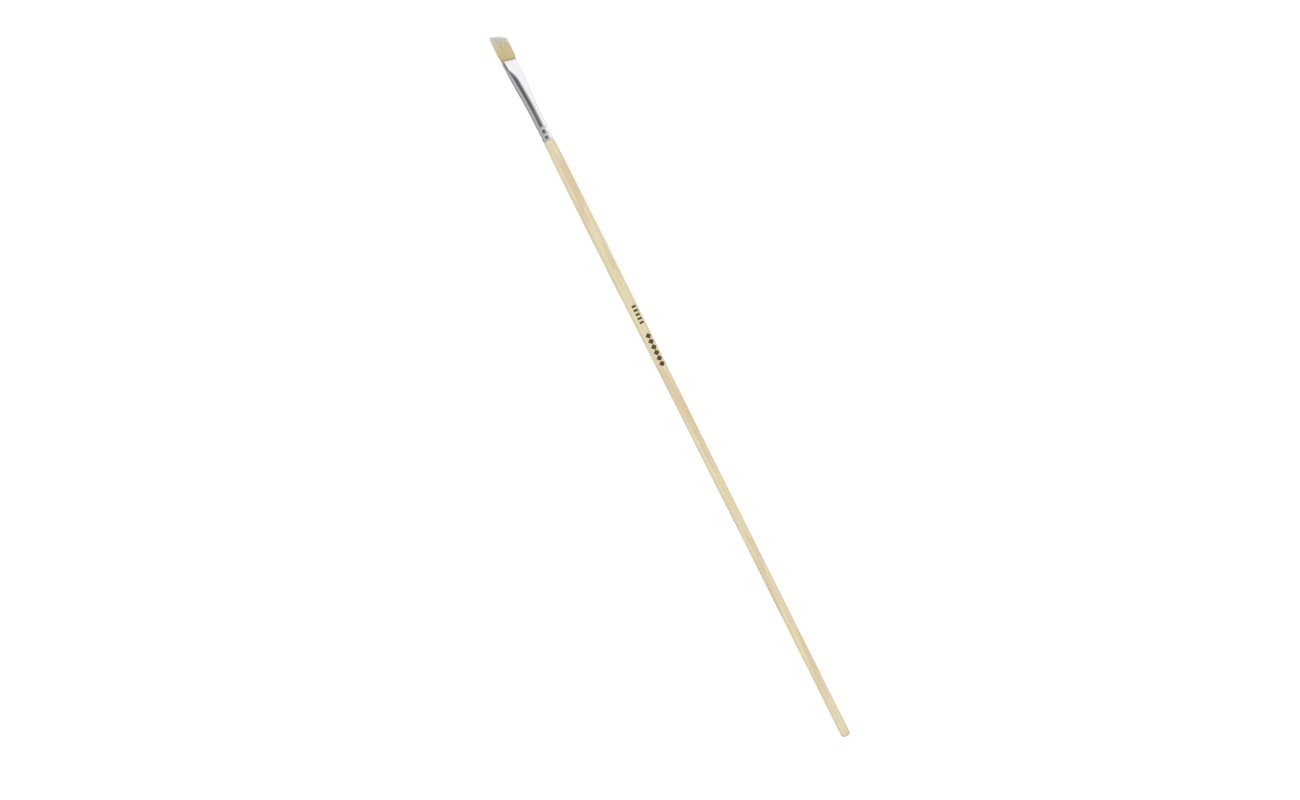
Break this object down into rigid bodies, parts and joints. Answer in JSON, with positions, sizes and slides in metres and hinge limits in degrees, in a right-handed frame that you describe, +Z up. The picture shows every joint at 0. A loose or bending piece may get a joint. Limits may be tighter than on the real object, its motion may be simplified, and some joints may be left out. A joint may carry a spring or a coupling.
{
  "type": "artist's paint brush",
  "caption": "Flat hog-bristle artist's brush with a long plain wooden handle, a crimped metal ferrule, and a tuft that flexes and sways.",
  "frame": {"origin": "on the table under the brush, at the middle of its overall length and width", "axes": "+Y along the brush towards the hair's tips, +Z up and square to the flat of the ferrule, +X across the width"},
  "size_m": [0.0089, 0.34, 0.0052],
  "materials": {
    "wood": "bare pale hardwood under a thin satin sealer",
    "ferrule_metal": "polished, with fine draw marks along the tube",
    "glue": "cured amber glue",
    "epoxy": "cured epoxy",
    "thread": "waxed cotton thread",
    "bristle": "natural pale hog bristle"
  },
  "bodies": {
    "handle_and_ferrule": {"handle": "wood", "ferrule": "ferrule_metal", "tenon_glue": "glue", "root_epoxy": "epoxy", "root_binding_thread": "thread", "bristle_roots": "bristle"},
    "tuft_heel": {"bristle_heel": "bristle"},
    "tuft": {"bristle_lock_lower_1": "bristle", "bristle_lock_lower_2": "bristle", "bristle_lock_lower_3": "bristle", "bristle_lock_lower_4": "bristle", "bristle_lock_lower_5": "bristle", "bristle_lock_lower_6": "bristle", "bristle_lock_lower_7": "bristle", "bristle_lock_lower_8": "bristle", "bristle_lock_middle_1": "bristle", "bristle_lock_middle_2": "bristle", "bristle_lock_middle_3": "bristle", "bristle_lock_middle_4": "bristle", "bristle_lock_middle_5": "bristle", "bristle_lock_middle_6": "bristle", "bristle_lock_middle_7": "bristle", "bristle_lock_middle_8": "bristle", "bristle_lock_upper_1": "bristle", "bristle_lock_upper_2": "bristle", "bristle_lock_upper_3": "bristle", "bristle_lock_upper_4": "bristle", "bristle_lock_upper_5": "bristle", "bristle_lock_upper_6": "bristle", "bristle_lock_upper_7": "bristle", "bristle_lock_upper_8": "bristle"}
  },
  "joints": [
    {"name": "tuft_sway", "type": "hinge", "parent": "handle_and_ferrule", "child": "tuft_heel", "pos_m": [0, 0.1561, 0.00262], "axis": [0, 0, 1], "range_deg": [-10, 10], "stiffness_Nm_per_rad": 0.003},
    {"name": "tuft_flex", "type": "hinge", "parent": "tuft_heel", "child": "tuft", "pos_m": [0, 0.1602, 0.00262], "axis": [1, 0, 0], "range_deg": [-40, 40], "stiffness_Nm_per_rad": 0.001}
  ]
}
